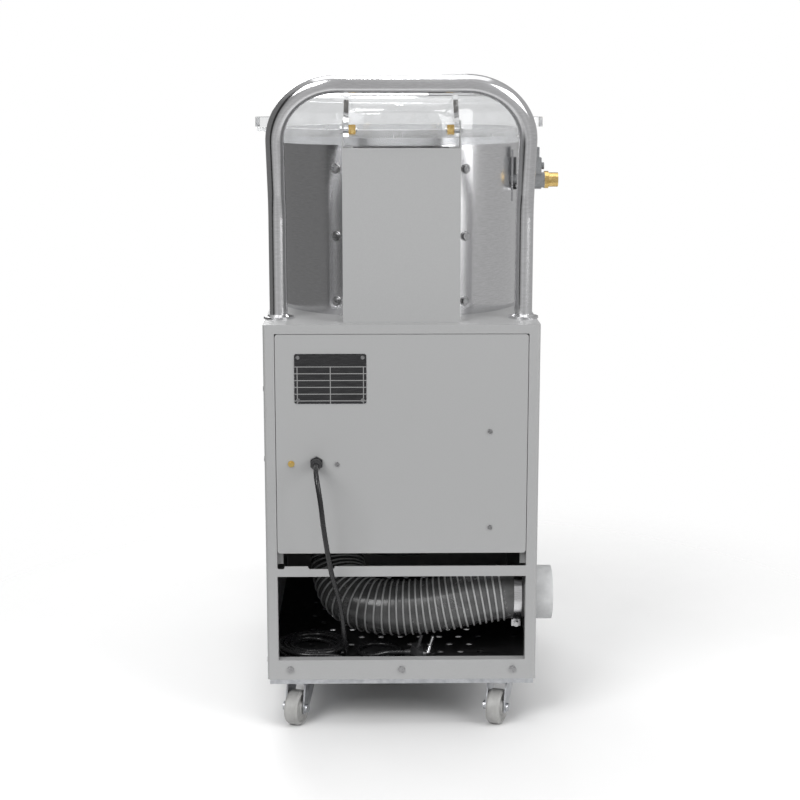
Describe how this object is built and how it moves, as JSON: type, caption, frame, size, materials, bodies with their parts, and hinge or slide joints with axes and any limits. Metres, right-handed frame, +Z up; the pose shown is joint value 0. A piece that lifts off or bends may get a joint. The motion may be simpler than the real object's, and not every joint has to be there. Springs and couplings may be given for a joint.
{
  "type": "electric potato peeler",
  "caption": "Floor-standing potato peeler: steel drum with abrasive disc and clear hinged lid on a wheeled cabinet, push handle, front chute with door, drain hose.",
  "frame": {"origin": "on the floor, under the centre of the machine's overall box", "axes": "+Z up; +Y towards the push handle and cord side, so the discharge chute points to -Y; +X to the right seen from the chute side"},
  "size_m": [0.444, 0.7775, 0.9187],
  "materials": {
    "grey_paint": "satin grey powder coat",
    "polished_steel": "polished stainless steel",
    "galvanised_steel": "zinc plated",
    "clear_plastic": "clear moulded polycarbonate",
    "milky_plastic": "translucent white moulding",
    "abrasive": "bonded abrasive grit",
    "cast_alloy": "cast, grit coated on top",
    "dark_iron": "machined cast iron",
    "motor_paint": "dark motor enamel",
    "black_rubber": "black rubber",
    "white_hose": "clear hose with white ribs",
    "grey_plastic": "grey moulded plastic",
    "pale_plastic": "pale grey moulded plastic",
    "black_plastic": "black moulded plastic",
    "brass": "turned brass",
    "dark_plate": "dark anodised plate",
    "green_plastic": "green moulded plastic",
    "red_plastic": "red moulded plastic",
    "lamp_amber": "amber lens",
    "white_nylon": "pale nylon",
    "black_cord": "dark grey cord sheath"
  },
  "bodies": {
    "machine": {"cabinet_shell": "grey_paint", "rear_panel": "grey_paint", "rear_crossbar": "grey_paint", "base_frame": "galvanised_steel", "base_tray": "galvanised_steel", "drum_shell": "polished_steel", "drum_collar": "milky_plastic", "abrasive_liner": "abrasive", "drum_floor": "polished_steel", "bearing_housing": "dark_iron", "bearings_and_seal": "galvanised_steel", "drive_belt": "black_rubber", "motor": "motor_paint", "motor_plate": "galvanised_steel", "control_box": "grey_plastic", "drain_hose": "white_hose", "outlet_pipe": "pale_plastic", "hose_clamps": "polished_steel", "hinge_box": "grey_paint", "hinge_screws": "polished_steel", "hinge_nuts": "brass", "push_handle": "polished_steel", "handle_flanges": "polished_steel", "discharge_chute": "polished_steel", "chute_bracket": "polished_steel", "door_fittings": "polished_steel", "control_panel": "polished_steel", "control_internals": "grey_plastic", "power_lamp": "lamp_amber", "inlet_valve": "brass", "inlet_coil": "grey_plastic", "inlet_bracket": "polished_steel", "nameplate": "dark_plate", "fixings": "polished_steel", "cable_gland_and_earth": "black_plastic", "power_cord": "black_cord", "cord_coil": "black_cord", "cord_tail": "black_cord", "power_plug": "black_plastic", "caster_plates": "galvanised_steel"},
    "disc": {"abrasive_disc": "cast_alloy", "disc_cap": "polished_steel", "main_shaft": "galvanised_steel", "large_pulley": "dark_iron"},
    "motor_rotor": {"motor_pulley": "dark_iron", "motor_shaft": "galvanised_steel"},
    "lid": {"lid": "clear_plastic"},
    "door": {"discharge_door": "polished_steel"},
    "latch": {"door_latch": "polished_steel"},
    "start_button": {"start_button": "green_plastic"},
    "stop_button": {"stop_button": "red_plastic"},
    "timer_knob": {"timer_knob": "black_plastic"},
    "fork_rear_left": {"caster_fork_rear_left": "galvanised_steel"},
    "wheel_rear_left": {"caster_wheel_rear_left": "white_nylon"},
    "fork_rear_right": {"caster_fork_rear_right": "galvanised_steel"},
    "wheel_rear_right": {"caster_wheel_rear_right": "white_nylon"},
    "fork_front_left": {"caster_fork_front_left": "galvanised_steel"},
    "wheel_front_left": {"caster_wheel_front_left": "white_nylon"},
    "fork_front_right": {"caster_fork_front_right": "galvanised_steel"},
    "wheel_front_right": {"caster_wheel_front_right": "white_nylon"}
  },
  "joints": [
    {"name": "disc_spin", "type": "hinge", "parent": "machine", "child": "disc", "pos_m": [0.009, 0.09624, 0.6], "axis": [0, 0, 1], "continuous": true},
    {"name": "motor_spin", "type": "hinge", "parent": "machine", "child": "motor_rotor", "pos_m": [0.009, -0.05376, 0.23], "axis": [0, 0, 1], "continuous": true},
    {"name": "lid_hinge", "type": "hinge", "parent": "machine", "child": "lid", "pos_m": [0.009, 0.30424, 0.844], "axis": [-1, 0, 0], "range_deg": [0, 77]},
    {"name": "door_hinge", "type": "hinge", "parent": "machine", "child": "door", "pos_m": [-0.09826, -0.05694, 0.721], "axis": [0, 0, -1], "range_deg": [0, 110]},
    {"name": "latch_turn", "type": "hinge", "parent": "door", "child": "latch", "pos_m": [0.0893, -0.07596, 0.721], "axis": [0.4226, -0.9063, 0], "range_deg": [0, 90]},
    {"name": "start_press", "type": "slide", "parent": "machine", "child": "start_button", "axis": [0, 1, 0], "range_m": [0, 0.004], "stiffness_N_per_m": 300},
    {"name": "stop_press", "type": "slide", "parent": "machine", "child": "stop_button", "axis": [0, 1, 0], "range_m": [0, 0.004], "stiffness_N_per_m": 300},
    {"name": "timer_turn", "type": "hinge", "parent": "machine", "child": "timer_knob", "pos_m": [0.067, -0.15326, 0.512], "axis": [0, 1, 0], "range_deg": [0, 300]},
    {"name": "swivel_rear_left", "type": "hinge", "parent": "machine", "child": "fork_rear_left", "pos_m": [0.153, 0.30724, 0.06], "axis": [0, 0, 1], "continuous": true},
    {"name": "roll_rear_left", "type": "hinge", "parent": "fork_rear_left", "child": "wheel_rear_left", "pos_m": [0.15984, 0.32604, 0.025], "axis": [0.9397, -0.342, 0], "continuous": true},
    {"name": "swivel_rear_right", "type": "hinge", "parent": "machine", "child": "fork_rear_right", "pos_m": [-0.135, 0.30724, 0.06], "axis": [0, 0, 1], "continuous": true},
    {"name": "roll_rear_right", "type": "hinge", "parent": "fork_rear_right", "child": "wheel_rear_right", "pos_m": [-0.12816, 0.32604, 0.025], "axis": [0.9397, -0.342, 0], "continuous": true},
    {"name": "swivel_front_left", "type": "hinge", "parent": "machine", "child": "fork_front_left", "pos_m": [0.153, -0.10876, 0.06], "axis": [0, 0, 1], "continuous": true},
    {"name": "roll_front_left", "type": "hinge", "parent": "fork_front_left", "child": "wheel_front_left", "pos_m": [0.1424, -0.0918, 0.025], "axis": [0.848, 0.5299, 0], "continuous": true},
    {"name": "swivel_front_right", "type": "hinge", "parent": "machine", "child": "fork_front_right", "pos_m": [-0.135, -0.10876, 0.06], "axis": [0, 0, 1], "continuous": true},
    {"name": "roll_front_right", "type": "hinge", "parent": "fork_front_right", "child": "wheel_front_right", "pos_m": [-0.12816, -0.08996, 0.025], "axis": [0.9397, -0.342, 0], "continuous": true}
  ],
  "couplings": [
    {"joint": "motor_spin", "follows": "disc_spin", "ratio": 2.7582}
  ]
}
